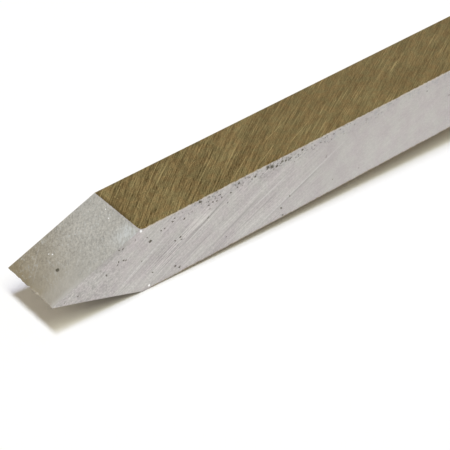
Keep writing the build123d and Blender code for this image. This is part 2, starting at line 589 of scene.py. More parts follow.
# Cloudy patches: size, and the noise values where they begin and are full
patches = {
    "border": (0.3, 0.3, 0.7),
    "filmMargin": (0.5, 0.2, 0.8),
    "filmGrain": (0.2, 0.3, 0.7),
    "filmPatches": (4.5, 0.3, 0.7),
    "filmHue": (1.1, 0.35, 0.65),
    "sideGrain": (0.28, 0.3, 0.7),
    "sidePatches": (2.4, 0.3, 0.7),
    "sideWide": (9.0, 0.3, 0.7),
    "sideHue": (2.4, 0.35, 0.65),
    "sideWorked": (0.45, 0.5, 0.64),
    "sideBlotches": (0.8, 0.5, 0.66),
    "bevelGrain": (0.24, 0.3, 0.7),
    "bevelPatches": (2.6, 0.3, 0.7),
    "bevelPale": (2.2, 0.35, 0.6),
    "edgeHighlight": (0.4, 0.48, 0.6),
    "pitClouds": (1.6, 0.34, 0.54),
}
# Ragged dots: spacing, size as a part of that, the share of places with one, raggedness
dots = {
    "filmFlecks": (0.5, 0.3, 0.3, 0.3),
    "bevelFlecks": (0.45, 0.34, 0.4, 0.5),
    "pitsScattered": (1.5, 0.15, 0.25, 0.3),
    "pitsCoarse": (0.55, 0.5, 0.6, 0.7),
    "pitsFine": (0.3, 0.6, 0.6, 0.7),
}
# Stretches over which something fades in: where it starts and where it is full, and its
# strength at those two places if that isn't 0 and 1. They are measured along the axis from
# the cutting edge, across from the middle (the near side is negative) or up from the axis,
# unless their names say otherwise.
fades = {
    "bevelBorder": (-0.12, 0.06),  # out from the bevel's plane, beyond the other faces
    "filmBorder": (-0.05, 0.05),  # in from the film's edge
    "filmDepth": (-0.2, -0.1),  # out from the top or bottom
    "filmBusyPastHeel": (8.0, 32.0, 1.0, 0.55),
    "darkPastHeel": (0.7, 0.15, 0.0, 0.55),
    "darkAcross": (-3.4, -1.0),
    "flecksPastHeel": (14.0, 4.0, 0.1, 0.5),
    "hairsByPatch": (0.3, 0.8, 0.2, 0.5),
    "scratchByGrain": (0.0, 0.6, 0.55, 1.3),
    "sidePlainer": (34.0, 46.0, 1.0, 0.25),
    "sideGround": (8.0, 16.0, 0.3, 1.0),
    "sideShort": (16.0, 9.0, 0.03, 0.06),
    "sideGrain": (11.0, 7.5, 0.09, 0.13),
    "shadeUnderBevel": (1.1, 0.4, 0.0, 0.42),
    "shadeStart": (4.0, 8.0),
    "shadeEnd": (12.6, 11.0),
    "workedUnderBevel": (7.0, 2.5, 0.0, 0.5),
    "workedEnd": (13.0, 8.0),
    "mottleFromTop": (-1.9, -1.0, 0.0, 0.5),
    "mottleStart": (17.0, 22.0),
    "bevelRough": (0.0, 7.0, 0.25, 1.0),  # along, further on the near side
    "bevelStain": (10.0, -2.0, 0.0, 0.62),  # along, further on the far side
    "strawFront": (2.4, -1.2, 0.0, 0.75),
    "strawAcross": (-4.6, -1.0, 0.25, 1.0),
    "paleHeel": (9.2, 12.2),
    "paleHeelEnd": (13.7, 12.9),
    "paleHeelAcross": (-1.6, -3.4),
    "paleHeelByStrokes": (0.4, 1.6, 0.3, 0.8),
    "paleTipWide": (-1.5, -3.0, 0.0, 0.15),  # across
    "paleTipNarrow": (-3.9, -4.6, 0.0, 0.3),
    "paleTipEnd": (7.0, 2.0),
    "edgeHighlight": (0.4, 0.1, 0.0, 0.45),
    "edgeHighlightAcross": (0.5, -1.5),
    "pitsFromTop": (-2.2, -1.0, 0.0, 0.75),
    "pitsStart": (16.0, 22.0),
    "pitsThinOut": (60.0, 44.0, 0.25, 1.0),
    "scatterOffBevel": (0.0, 1.0, 0.65, 0.2),
    "lowerShadeAlong": (1.5, 8.2),
    "lowerBevel": (0.1, -0.3),
    "arris": (-0.34, -0.12, 0.0, 0.55),  # the sum of the distances out from side and top
    "arrisAbove": (0.0, 1.0),
    "arrisNear": (0.0, -1.0),
}
# The grinding lines' angle from the tool's length, how fast it falls along the tool, in
# radians for each mm, and the place where it has the value given
topLines = (radians(36), 0.0078, 24.0)
sideLines = (radians(25), 0.006, 27.0)
bevelLines = (radians(38), 0.0, 0.0)
linesTurnOver = 20.0  # mm on either side of that place; straight beyond
farAway = 100.0  # the far side's heights are raised by this, so that it has no scratches

# Single scratches on the near side, each from one place (along, above the axis) to the
# next, with its half width and how much it lightens the steel
sideScratches = [
    ((15.2, -3.65), (29.0, 4.1), 0.17, -0.75),
    ((16.0, -2.9), (24.6, 1.2), 0.13, 0.6),
    ((15.6, -2.4), (24.2, 1.7), 0.12, -0.5),
    ((16.4, -1.7), (24.0, 2.0), 0.13, 0.6),
    ((18.6, -0.4), (24.0, 2.4), 0.11, -0.5),
    ((18.4, -2.2), (25.6, 0.5), 0.12, 0.5),
    ((9.4, -2.7), (18.4, 2.5), 0.16, 0.85),
    ((10.6, -2.4), (17.0, 0.9), 0.14, -0.4),
    ((17.0, 2.2), (21.6, 4.2), 0.12, 0.5),
    ((20.3, -3.2), (25.6, -0.9), 0.14, -0.4),
    ((24.4, -3.6), (34.6, 1.5), 0.3, -0.4),
    ((30.2, 0.4), (34.6, 2.3), 0.35, 0.3),
    ((29.8, -1.4), (38.0, 1.9), 0.24, 0.5),
    ((28.4, -3.4), (36.4, 0.0), 0.2, -0.45),
    ((30.0, -5.2), (48.6, 2.9), 0.18, 0.65),
    ((30.2, -5.4), (44.0, 0.6), 0.16, -0.3),
    ((36.4, -2.6), (43.6, 0.4), 0.22, -0.35),
]
# The same on the top film and on the upper bevel: along the tool and across it
filmScratches = [
    ((28.2, -4.6), (33.4, -1.4), 0.1, 0.5),
    ((32.6, -4.3), (37.9, -1.8), 0.1, 0.45),
    ((28.4, 2.7), (30.4, 4.1), 0.1, 0.4),
    ((19.5, -1.7), (21.5, -0.1), 0.1, 0.4),
    ((25.6, 1.1), (27.6, 1.9), 0.09, 0.4),
    ((36.4, -0.9), (41.6, 0.9), 0.1, 0.45),
    ((38.4, -3.4), (44.6, -0.9), 0.1, 0.45),
]
bevelScratches = [
    ((1.4, 1.5), (4.9, 4.5), 0.1, 0.22),
    ((0.4, 0.0), (3.4, 2.6), 0.1, 0.2),
    ((5.0, -2.7), (6.8, -1.4), 0.1, 0.3),
    ((11.0, -4.0), (12.8, -2.8), 0.12, 0.35),
]
# The grinding lines on the near side crowd together along this line, to this far off it
crowdedLines = ((13.5, -2.8), (26.5, 3.2), 1.7)
# Pits that stand out on the near side: along the blade, above its axis, radius
sidePits = [
    (15.0, 2.42, 0.3),
    (14.6, 3.3, 0.13),
    (16.75, 3.2, 0.2),
    (17.3, 3.25, 0.18),
    (18.9, 4.05, 0.15),
    (19.6, 0.6, 0.26),
    (19.8, 0.15, 0.16),
    (18.75, 0.5, 0.17),
    (18.55, 3.7, 0.22),
    (20.35, 3.2, 0.2),
    (15.05, -2.7, 0.2),
    (18.6, -3.7, 0.2),
    (19.2, -4.1, 0.22),
    (10.35, 3.5, 0.17),
    (10.9, 3.45, 0.18),
    (12.8, 3.85, 0.13),
    (10.15, 1.8, 0.16),
    (9.9, 1.4, 0.16),
    (10.85, 1.6, 0.18),
    (11.2, 1.45, 0.14),
    (8.2, 0.65, 0.2),
    (3.8, -0.3, 0.17),
    (36.1, -3.4, 0.26),
    (22.95, 4.55, 0.36),
    (24.2, 3.35, 0.18),
    (24.9, 3.45, 0.15),
    (25.6, 3.35, 0.15),
    (26.3, 3.5, 0.18),
    (26.1, 4.1, 0.15),
    (27.8, 3.5, 0.17),
    (27.3, 2.2, 0.16),
    (28.9, 3.85, 0.18),
    (29.2, 4.35, 0.24),
    (31.8, 4.0, 0.2),
    (33.9, 4.5, 0.42),
    (34.6, 4.25, 0.46),
    (35.4, 3.9, 0.26),
    (36.3, 4.25, 0.3),
    (36.9, 4.1, 0.3),
    (37.6, 4.0, 0.22),
    (38.3, 3.2, 0.16),
    (39.7, 4.4, 0.2),
    (26.9, -3.3, 0.14),
]
bevelPit = (3.73, -0.76, 0.34)  # along, across, radius
# Where small pits crowd under the near top arris, how far they reach on either side, and
# how far they are at their thickest
pitCrowd = (35.8, 3.2, 1.28)
# Painted glints at the heel's worn corners on the near side: along, above, radius
paintedGlints = [(13.75, 4.72, 0.26), (14.4, -4.5, 0.24)]
# Painted glints on the upper bevel
paintedBevelGlints = [  # along, across, radius
    (4.7, 1.65, 0.13),
    (4.45, 2.1, 0.1),
    (12.3, 0.05, 0.12),
    (12.9, 1.5, 0.11),
]


def both(tree, *values):
    # The product of any number of shares
    product = values[0]
    for value in values[1:]:
        product = calc(tree, "MULTIPLY", product, value)
    return product


def without(tree, value):
    return calc(tree, "SUBTRACT", 1.0, value)


def toned(tree, colour, *layers):
    # The colour times 1 + the sum of amount (2 pattern - 1)
    tone = 1.0
    for pattern, amount in layers:
        swing = calc(tree, "MULTIPLY_ADD", pattern, 2.0, -1.0)
        tone = calc(tree, "MULTIPLY_ADD", swing, amount, tone)
    return tint(tree, 1.0, colour, grey(tree, tone), "MULTIPLY")


def weighed(tree, *layers):
    # A share: one half and the sum of amount (pattern - 1/2)
    share = 0.5
    for pattern, amount in layers:
        share = calc(tree, "MULTIPLY_ADD", calc(tree, "SUBTRACT", pattern, 0.5), amount, share)
    return share


def fade(tree, value, kind):
    return rise(tree, value, *fades[kind])


def stroked(tree, place, angle, kind):
    lean, length, width, low, high, bend = strokes[kind]
    size = {"Length": length, "Width": width, "Bend": bend, "Low": low, "High": high}
    return useGroup(tree, streaks, Place=place, Angle=angle + lean, **size)["Streaks"]


def cloudy(tree, place, kind):
    size, low, high = patches[kind]
    return useGroup(tree, clouds, Place=place, Size=size, Low=low, High=high)["Clouds"]


def dotted(tree, place, kind):
    spacing, size, share, ragged = dots[kind]
    amounts = {"Spacing": spacing, "Size": size, "Share": share, "Ragged": ragged}
    return useGroup(tree, specks, Place=place, **amounts)["Specks"]


def spot(tree, place, centre, size, full):
    # 1 within full times the size of a centre, and 0 from the size outwards
    away = vector(tree, "DISTANCE", place, centre)
    return rise(tree, away, size, size * full)


def stretched(tree, place, along, across):
    # A place squeezed so that a texture on it is drawn out one way
    return vector(tree, "MULTIPLY", place, (along, across, across))


def scratch(tree, place, start, end, halfWidth):
    # 1 on the line between two places on a face and 0 half a width away, faint at its
    # ends; the place is measured along and across that line
    (x0, z0), (x1, z1) = start, end
    length = np.hypot(x1 - x0, z1 - z0)
    angle = np.arctan2(z1 - z0, x1 - x0)
    moved = vector(tree, "SUBTRACT", place, (x0, z0, 0.0))
    turned = put(tree, "VectorRotate", {"Vector": moved, "Angle": -angle}, rotation_type="Z_AXIS")
    along, across, _ = parts(tree, turned.outputs[0])
    tail = bladeFinish["scratchTail"] * length
    begins = rise(tree, along, 0.0, tail)
    ends = rise(tree, along, length, length - tail)
    return both(tree, begins, ends, rise(tree, calc(tree, "ABSOLUTE", across), halfWidth, 0.0))


def scratched(tree, plane, colour, scratches, grain, pale, dark):
    # Single scratches drawn over a colour, broken up by the grain
    for start, end, halfWidth, lift in scratches:
        mark = scratch(tree, plane, start, end, halfWidth)
        share = both(tree, mark, fade(tree, grain, "scratchByGrain"), abs(lift))
        colour = tint(tree, share, colour, pale if lift > 0 else dark)
    return colour


def bowed(tree, along, across, depth, grinding):
    # A face's place with its across value raised by fall / 2 (along - centre)^2, and
    # straight beyond the turn over, so that level lines there bend as the grinding does
    _, fall, centre = grinding
    offset = calc(tree, "SUBTRACT", along, centre)
    kept = calc(tree, "MINIMUM", calc(tree, "MAXIMUM", offset, -linesTurnOver), linesTurnOver)
    doubled = calc(tree, "MULTIPLY_ADD", offset, 2.0, calc(tree, "MULTIPLY", kept, -1.0))
    raised = calc(tree, "MULTIPLY_ADD", both(tree, kept, doubled), fall / 2, across)
    return joined(tree, along, raised, depth)


def bladeFaces(tree, place):
    # How far a point lies out from each face's plane, and whether it is on a bevel
    x, y, z = parts(tree, place)
    heel, halfHeight = bar["heel"], bar["halfHeight"]
    run = np.hypot(heel, halfHeight)
    height = calc(tree, "ABSOLUTE", z)
    side = calc(tree, "SUBTRACT", calc(tree, "ABSOLUTE", y), bar["halfWidth"])
    top = calc(tree, "SUBTRACT", height, halfHeight)
    across = calc(tree, "MULTIPLY", height, heel / run)
    bevel = calc(tree, "MULTIPLY_ADD", x, -halfHeight / run, across)
    flat = calc(tree, "MAXIMUM", side, top)
    ragged = cloudy(tree, place, "border")
    nearest = calc(tree, "MULTIPLY_ADD", ragged, bladeFinish["ragged"], flat)
    return side, top, fade(tree, calc(tree, "SUBTRACT", bevel, nearest), "bevelBorder")


def filmCover(tree, place, side, top):
    # The film covers the top and bottom. It stops a little short of the near side and of
    # the bevel, with a rounded corner between them, and runs over the far arris.
    look = bladeFinish
    x, y, _ = parts(tree, place)
    corner = look["filmCorner"]
    fromHeel = calc(tree, "SUBTRACT", x, bar["heel"])
    overX = calc(tree, "MAXIMUM", calc(tree, "SUBTRACT", corner, fromHeel), 0.0)
    overY = calc(tree, "MAXIMUM", calc(tree, "ADD", side, corner), 0.0)
    reach = vector(tree, "LENGTH", joined(tree, overX, overY, 0.0))
    near = calc(tree, "SUBTRACT", corner, reach)
    nearSide = calc(tree, "LESS_THAN", y, 0.0)
    inside = calc(tree, "MULTIPLY_ADD", calc(tree, "SUBTRACT", near, fromHeel), nearSide, fromHeel)
    least, most = look["filmMargin"]
    margin = calc(tree, "MULTIPLY_ADD", cloudy(tree, place, "filmMargin"), most - least, least)
    covered = fade(tree, calc(tree, "SUBTRACT", inside, margin), "filmBorder")
    return both(tree, covered, fade(tree, top, "filmDepth"))


def filmColour(tree, place):
    # Dark and pale film shared out by grain, short strokes and long hairlines, stronger
    # towards the heel, in slightly redder and greener patches; its golden flecks, hairlines and
    # pale scratches are partly the scratches' own colour and partly painted glints
    look = bladeFinish
    x, y, z = parts(tree, place)
    fromHeel = calc(tree, "SUBTRACT", x, bar["heel"])
    flat = bowed(tree, x, y, z, topLines)
    angle = topLines[0]
    grain = cloudy(tree, place, "filmGrain")
    short = stroked(tree, flat, angle, "filmShort")
    patch = cloudy(tree, place, "filmPatches")
    share = weighed(
        tree,
        (grain, 0.36),
        (short, 0.42),
        (stroked(tree, flat, angle, "filmSteep"), 0.22),
        (stroked(tree, flat, angle, "filmLong"), 0.38),
        (stroked(tree, flat, angle, "filmBroad"), 0.2),
        (patch, 0.1),
    )
    busy = fade(tree, fromHeel, "filmBusyPastHeel")
    share = calc(tree, "MULTIPLY_ADD", calc(tree, "SUBTRACT", share, 0.5), busy, 0.5)
    colour = tint(tree, share, look["filmDark"], look["filmPale"])
    hue = tint(tree, cloudy(tree, place, "filmHue"), look["redder"], look["greener"])
    colour = tint(tree, 1.0, colour, hue, "MULTIPLY")
    # The film is darker just behind the heel, towards the middle and far side
    darkByHeel = both(tree, fade(tree, fromHeel, "darkPastHeel"), fade(tree, y, "darkAcross"))
    colour = tint(tree, darkByHeel, colour, look["filmDark"])
    flecks = both(tree, dotted(tree, place, "filmFlecks"), fade(tree, fromHeel, "flecksPastHeel"))
    colour = tint(tree, flecks, colour, look["filmGlintGold"])
    hairs = both(tree, stroked(tree, flat, angle, "filmHairs"), fade(tree, patch, "hairsByPatch"))
    colour = tint(tree, hairs, colour, look["filmGlintGold"])
    plane = joined(tree, x, y, 0.0)
    glintGold, dark = look["filmGlintGold"], look["filmDark"]
    return scratched(tree, plane, colour, filmScratches, grain, glintGold, dark), short


def sideColour(tree, place):
    # Long grinding lines, close together along one stretch, under a fine grain
    look = bladeFinish
    x, y, z = parts(tree, place)
    flat = bowed(tree, x, z, y, sideLines)
    angle = sideLines[0]
    farSide = calc(tree, "GREATER_THAN", y, 0.0)
    plane = joined(tree, x, calc(tree, "MULTIPLY_ADD", farSide, farAway, z), 0.0)
    start, end, reach = crowdedLines
    further = fade(tree, x, "sidePlainer")
    ground = both(tree, fade(tree, x, "sideGround"), further)
    crowd = scratch(tree, plane, start, end, reach)
    crowded = calc(tree, "MULTIPLY_ADD", crowd, 0.85, both(tree, further, 0.2))
    fine = stroked(tree, flat, angle, "sideFine")
    grain = cloudy(tree, place, "sideGrain")
    colour = toned(
        tree,
        look["side"],
        (fine, both(tree, crowded, 0.28)),
        (stroked(tree, flat, angle, "sideThin"), both(tree, ground, 0.045)),
        (stroked(tree, flat, angle, "sideSoft"), both(tree, ground, 0.055)),
        (stroked(tree, place, angle, "sideShort"), fade(tree, x, "sideShort")),
        (grain, both(tree, further, fade(tree, x, "sideGrain"))),
        (cloudy(tree, place, "sidePatches"), 0.045),
        (cloudy(tree, place, "sideWide"), 0.03),
    )
    hue = tint(tree, cloudy(tree, place, "sideHue"), look["pinker"], look["sallower"])
    colour = tint(tree, 1.0, colour, hue, "MULTIPLY")
    cross = both(tree, stroked(tree, flat, angle, "sideCross"), 0.25)
    colour = tint(tree, cross, colour, look["sideLight"])
    pale, dark = look["sideLight"], look["sideDark"]
    colour = scratched(tree, plane, colour, sideScratches, grain, pale, dark)

    # Shaded along the upper bevel's border, rough below that, and mottled under the top
    slope = bar["halfHeight"] / bar["heel"]
    below = calc(tree, "MULTIPLY_ADD", x, slope, calc(tree, "MULTIPLY", z, -1.0))
    starts, ends = fade(tree, x, "shadeStart"), fade(tree, x, "shadeEnd")
    shade = both(tree, fade(tree, below, "shadeUnderBevel"), starts, ends)
    colour = tint(tree, shade, colour, dark)
    worked = both(tree, fade(tree, below, "workedUnderBevel"), fade(tree, x, "workedEnd"))
    colour = tint(tree, both(tree, worked, cloudy(tree, place, "sideWorked")), colour, dark)
    fromTop = calc(tree, "SUBTRACT", z, bar["halfHeight"])
    band = both(tree, fade(tree, fromTop, "mottleFromTop"), fade(tree, x, "mottleStart"))
    blotch = both(tree, band, cloudy(tree, place, "sideBlotches"))
    return tint(tree, blotch, colour, look["mottle"]), fine


def bevelColour(tree, place):
    # Smooth towards the cutting edge and rougher towards the heel and the far side, with
    # pale veins, stained straw at the cutting edge and the far corner, and pale at its near
    # corners; a painted highlight runs along the cutting edge, and painted glints dot the bevel
    look = bladeFinish
    x, y, _ = parts(tree, place)
    angle = bevelLines[0]
    rough = fade(tree, calc(tree, "MULTIPLY_ADD", y, 0.7, x), "bevelRough")
    fine = stroked(tree, place, angle, "bevelFine")
    long = stroked(tree, place, angle, "bevelLong")
    grain = cloudy(tree, place, "bevelGrain")
    stain = fade(tree, calc(tree, "MULTIPLY_ADD", y, -0.5, x), "bevelStain")
    edge = calc(tree, "MULTIPLY_ADD", stroked(tree, place, angle, "bevelFront"), -0.9, x)
    reach = calc(tree, "MULTIPLY_ADD", calc(tree, "MAXIMUM", y, 0.0), -0.35, edge)
    front = both(tree, fade(tree, reach, "strawFront"), fade(tree, y, "strawAcross"))
    colour = tint(tree, calc(tree, "MAXIMUM", stain, front), look["bevel"], look["straw"])
    colour = toned(
        tree,
        colour,
        (fine, both(tree, rough, 0.1)),
        (grain, both(tree, rough, 0.13)),
        (long, 0.035),
        (cloudy(tree, place, "bevelPatches"), 0.05),
    )
    veins = both(tree, stroked(tree, place, angle, "bevelVeins"), 0.5)
    bright = calc(tree, "MAXIMUM", veins, dotted(tree, place, "bevelFlecks"))
    bright = both(tree, bright, rough, cloudy(tree, place, "bevelPale"), 0.75)
    paleHeel = both(
        tree,
        fade(tree, x, "paleHeel"),
        fade(tree, x, "paleHeelEnd"),
        fade(tree, y, "paleHeelAcross"),
        fade(tree, calc(tree, "ADD", long, fine), "paleHeelByStrokes"),
    )
    colour = tint(tree, calc(tree, "MAXIMUM", bright, paleHeel), colour, look["bevelPale"])
    paleTip = calc(tree, "ADD", fade(tree, y, "paleTipWide"), fade(tree, y, "paleTipNarrow"))
    colour = tint(tree, both(tree, paleTip, fade(tree, x, "paleTipEnd")), colour, look["sideLight"])
    # A painted highlight along the near half of the cutting edge
    paintedEdgeHighlight = both(tree, fade(tree, x, "edgeHighlight"), fade(tree, y, "edgeHighlightAcross"))
    paintedEdgeHighlight = both(tree, paintedEdgeHighlight, cloudy(tree, place, "edgeHighlight"))
    colour = tint(tree, paintedEdgeHighlight, colour, look["paintedEdgeLight"])
    plane = joined(tree, x, y, 0.0)
    pale, dark = look["sideLight"], look["sideDark"]
    colour = scratched(tree, plane, colour, bevelScratches, grain, pale, dark)
    # Painted glints, drawn as white dots
    for along, across, size in paintedBevelGlints:
        paintedBevelGlint = spot(tree, plane, (along, across, 0.0), size, look["glintCore"])
        colour = tint(tree, paintedBevelGlint, colour, look["paintedGlint"])
    return colour, fine


def pitMarks(tree, place, film, onBevel):
    # The listed large pits, a thin scatter, and a thick one under the near top arris
    x, _, z = parts(tree, place)
    shake, core = bladeFinish["pitShake"], bladeFinish["pitCore"]
    noise = put(tree, "TexNoise", {"Vector": place, "Scale": 3.5, "Detail": 2.0}).outputs["Color"]
    noise = joined(tree, *channels(tree, noise))
    shift = vector(tree, "MULTIPLY_ADD", noise, (shake,) * 3, (-shake / 2,) * 3)
    shaken = vector(tree, "ADD", place, shift)
    slope = bar["halfHeight"] / bar["heel"]
    along, across, size = bevelPit
    deep = spot(tree, shaken, (along, across, along * slope), size, core)
    for along, above, size in sidePits:
        pit = spot(tree, shaken, (along, -bar["halfWidth"], above), size, core)
        deep = calc(tree, "MAXIMUM", deep, pit)

    centre, reach, thickest = pitCrowd
    apart = calc(tree, "ABSOLUTE", calc(tree, "SUBTRACT", x, centre))
    crowd = rise(tree, apart, reach, thickest)
    crowd = calc(tree, "MAXIMUM", crowd, cloudy(tree, place, "pitClouds"))
    band = fade(tree, calc(tree, "SUBTRACT", z, bar["halfHeight"]), "pitsFromTop")
    behind = both(tree, fade(tree, x, "pitsStart"), fade(tree, x, "pitsThinOut"))
    fine = both(tree, dotted(tree, place, "pitsFine"), 0.8)
    small = calc(tree, "MAXIMUM", dotted(tree, place, "pitsCoarse"), fine)
    small = both(tree, small, band, behind, crowd)
    scatter = dotted(tree, place, "pitsScattered")
    scatter = both(tree, scatter, fade(tree, onBevel, "scatterOffBevel"))
    small = both(tree, calc(tree, "MAXIMUM", small, scatter), without(tree, film))
    return calc(tree, "MAXIMUM", deep, small)


def makeBladeSteel():
    look = bladeFinish
    material, tree, shader = newMaterial("ground high-speed steel")
    place = toolPlace(tree)
    x, y, z = parts(tree, place)
    side, top, onBevel = bladeFaces(tree, place)
    film = filmCover(tree, place, side, top)
    filmPaint, filmGrooves = filmColour(tree, place)
    sidePaint, sideGrooves = sideColour(tree, place)
    bevelPaint, bevelGrooves = bevelColour(tree, place)
    steel = tint(tree, onBevel, sidePaint, bevelPaint)

    # The lower bevel is bright by the cutting edge and darkens towards its heel with painted shade,
    # for the dark wedge between it and the floor
    lower = tint(tree, fade(tree, x, "lowerShadeAlong"), look["lowerBright"], look["lowerPaintedShade"])
    steel = tint(tree, both(tree, onBevel, fade(tree, z, "lowerBevel")), steel, lower)

    # The near top arris gets a painted highlight, and the heel's near corners painted glints
    arris = fade(tree, calc(tree, "ADD", side, top), "arris")
    paintedArrisHighlight = both(tree, arris, fade(tree, z, "arrisAbove"), fade(tree, y, "arrisNear"))
    steel = tint(tree, paintedArrisHighlight, steel, look["paintedEdgeLight"])
    for along, above, size in paintedGlints:
        paintedGlint = spot(tree, place, (along, -bar["halfWidth"], above), size, look["glintCore"])
        steel = tint(tree, paintedGlint, steel, look["paintedGlint"])
    colour = tint(tree, film, steel, filmPaint)
    pits = pitMarks(tree, place, film, onBevel)
    colour = tint(tree, both(tree, pits, look["pitShade"]), colour, look["pit"])

    rougher = look["filmRoughness"] - look["steelRoughness"]
    roughness = calc(tree, "MULTIPLY_ADD", film, rougher, look["steelRoughness"])
    roughness = calc(tree, "MULTIPLY_ADD", pits, look["pitRoughness"], roughness)
    onSide = without(tree, calc(tree, "MAXIMUM", film, onBevel))
    grooves = both(tree, filmGrooves, film)
    grooves = calc(tree, "MULTIPLY_ADD", sideGrooves, onSide, grooves)
    grooves = calc(tree, "MULTIPLY_ADD", bevelGrooves, onBevel, grooves)
    relief = calc(tree, "SUBTRACT", both(tree, grooves, look["grooveShare"]), pits)
    dress(tree, shader, colour, roughness, relief, look["pitDepth"])
    shader.inputs["Metallic"].default_value = 1.0
    return material


makePiece("blade.001", makeBladeGrid(), makeBladeSteel())


# Ferrule

ferrule = {
    "lip": 0.9,  # radius of the rounded front edge
    "lipStations": 9,
    "chamfer": 0.3,
    "wallStations": 14,
    "columns": 192,
}
brass = {
    "bright": paint(216, 180, 108),
    "deep": paint(158, 120, 62),
    "tarnish": paint(122, 92, 54),
    "metal": 0.75,  # dulled by handling
    "roughness": 0.24,
    "stainRoughness": 0.16,  # added in the stains
    "turning": (0.35, 0.65),  # noise values where the turning lines start and are full
    "turningShare": 0.6,  # of the deep colour
    "turningDepth": 0.02,  # mm
    "stain": {"Size": 5.0, "Low": 0.3, "High": 0.7},
    "stainGrain": (1.0, 0.4),  # how fine it is, along and across
    "stainShare": 0.3,
    "frontRim": (2.2, 0.6),  # where the tarnish starts and is full, mm from the end
    "backRim": (1.6, 0.2),
    "rimByStain": (0.0, 1.0, 0.25, 0.7),
}


def makeFerruleGrid():
    # A closed outline of a tube's wall, turned about the axis; its front outer edge is a
    # quarter circle
    x, y, z = toTool("ferrule").T
    radius = np.hypot(y, z)
    front, back = x.min(), x.max()
    inside, outside = radius.min(), radius.max()
    lip, chamfer = ferrule["lip"], ferrule["chamfer"]
    bend = np.linspace(0, np.pi / 2, ferrule["lipStations"])
    along = np.linspace(front + lip, back - chamfer, ferrule["wallStations"])
    returning = np.linspace(back - chamfer, front + chamfer, ferrule["wallStations"])
    rounded = profile(front + lip * (1 - np.cos(bend)), outside - lip * (1 - np.sin(bend)))
    corners = [(back, outside - chamfer), (back, inside + chamfer)]
    outline = np.concatenate(
        [
            [(front, inside + chamfer)],
            rounded,
            profile(along[1:], outside),
            corners,
            profile(returning, inside),
        ]
    )
    return turnedGrid(outline, ferrule["columns"])


def makeBrass():
    # Fine turning lines round the tube, cloudy handling stains, and tarnish at its rims
    look = brass
    material, tree, shader = newMaterial("turned brass")
    place = toolPlace(tree)
    x = parts(tree, place)[0]
    turning = {"Vector": joined(tree, x, 0.0, 0.0), "Scale": 0.9, "Detail": 5.0}
    turned = rise(tree, put(tree, "TexNoise", turning).outputs[0], *look["turning"])
    drawnOut = stretched(tree, place, *look["stainGrain"])
    stain = useGroup(tree, clouds, Place=drawnOut, **look["stain"])["Clouds"]
    stained = both(tree, stain, look["stainShare"])
    share = calc(tree, "MULTIPLY_ADD", turned, look["turningShare"], stained)
    colour = tint(tree, share, look["bright"], look["deep"])
    ends = toTool("ferrule")[:, 0]
    fromFront = calc(tree, "SUBTRACT", x, ends.min())
    fromBack = calc(tree, "SUBTRACT", ends.max(), x)
    front, back = rise(tree, fromFront, *look["frontRim"]), rise(tree, fromBack, *look["backRim"])
    rim = both(tree, calc(tree, "MAXIMUM", front, back), rise(tree, stain, *look["rimByStain"]))
    colour = tint(tree, rim, colour, look["tarnish"])
    roughness = calc(tree, "MULTIPLY_ADD", stain, look["stainRoughness"], look["roughness"])
    dress(tree, shader, colour, roughness, turned, look["turningDepth"])
    shader.inputs["Metallic"].default_value = look["metal"]
    return material


makePiece("ferrule.001", makeFerruleGrid(), makeBrass(), closed=True)


# Handle

handle = {
    "tenonChamfer": 0.6,
    "collarDiameter": 26.8,
    "collarLength": 12.0,
    "collarRound": 1.4,
    "roundStations": 8,
    "bellyFromCollar": 80.0,
    "waistDiameter": 26.4,
    "waistFromBelly": 82.0,
    "pommelDiameter": 31.0,
    "pommelFromWaist": 38.0,
    "buttEdge": 9.0,
    "buttCrown": 24.0,
    "buttStations": 24,
    "grooveSpacing": 4.0,
    "grooveHalfWidth": 0.8,
    "boreClearance": 0.05,
    "glueRoom": 3.0,
    "drillPoint": 118.0,
    "columns": 192,
    "swellStations": 60,
}


def swell(start, end):
    # Two equal arcs, parallel to the axis at both ends and meeting half way. Their radius
    # is (length^2 + rise^2) / (4 rise).
    (x0, r0), (x1, r1) = start, end
    length, climb = x1 - x0, r1 - r0
    radius = (length**2 + climb**2) / (4 * abs(climb))
    x = np.linspace(x0, x1, handle["swellStations"])
    near = np.minimum(x - x0, x1 - x)
    bulge = np.sign(climb) * (radius - np.sqrt(radius**2 - near**2))
    r = np.where(x - x0 < x1 - x, r0 + bulge, r1 - bulge)
    return profile(x, r)


def buttArcs(pommelX, pommelRadius):
    # The pommel's edge arc, then a flatter one centred on the axis, touching each other
    edge, crown = handle["buttEdge"], handle["buttCrown"]
    edgeHeight = pommelRadius - edge
    setback = np.sqrt((crown - edge) ** 2 - edgeHeight**2)
    lean = np.arctan2(edgeHeight, setback)
    turn = np.linspace(np.pi / 2, lean, handle["buttStations"])
    fall = np.linspace(lean, 0, handle["buttStations"])[1:]
    edgeArc = profile(pommelX + edge * np.cos(turn), edgeHeight + edge * np.sin(turn))
    crownArc = profile(pommelX - setback + crown * np.cos(fall), crown * np.sin(fall))
    return np.concatenate([edgeArc, crownArc])


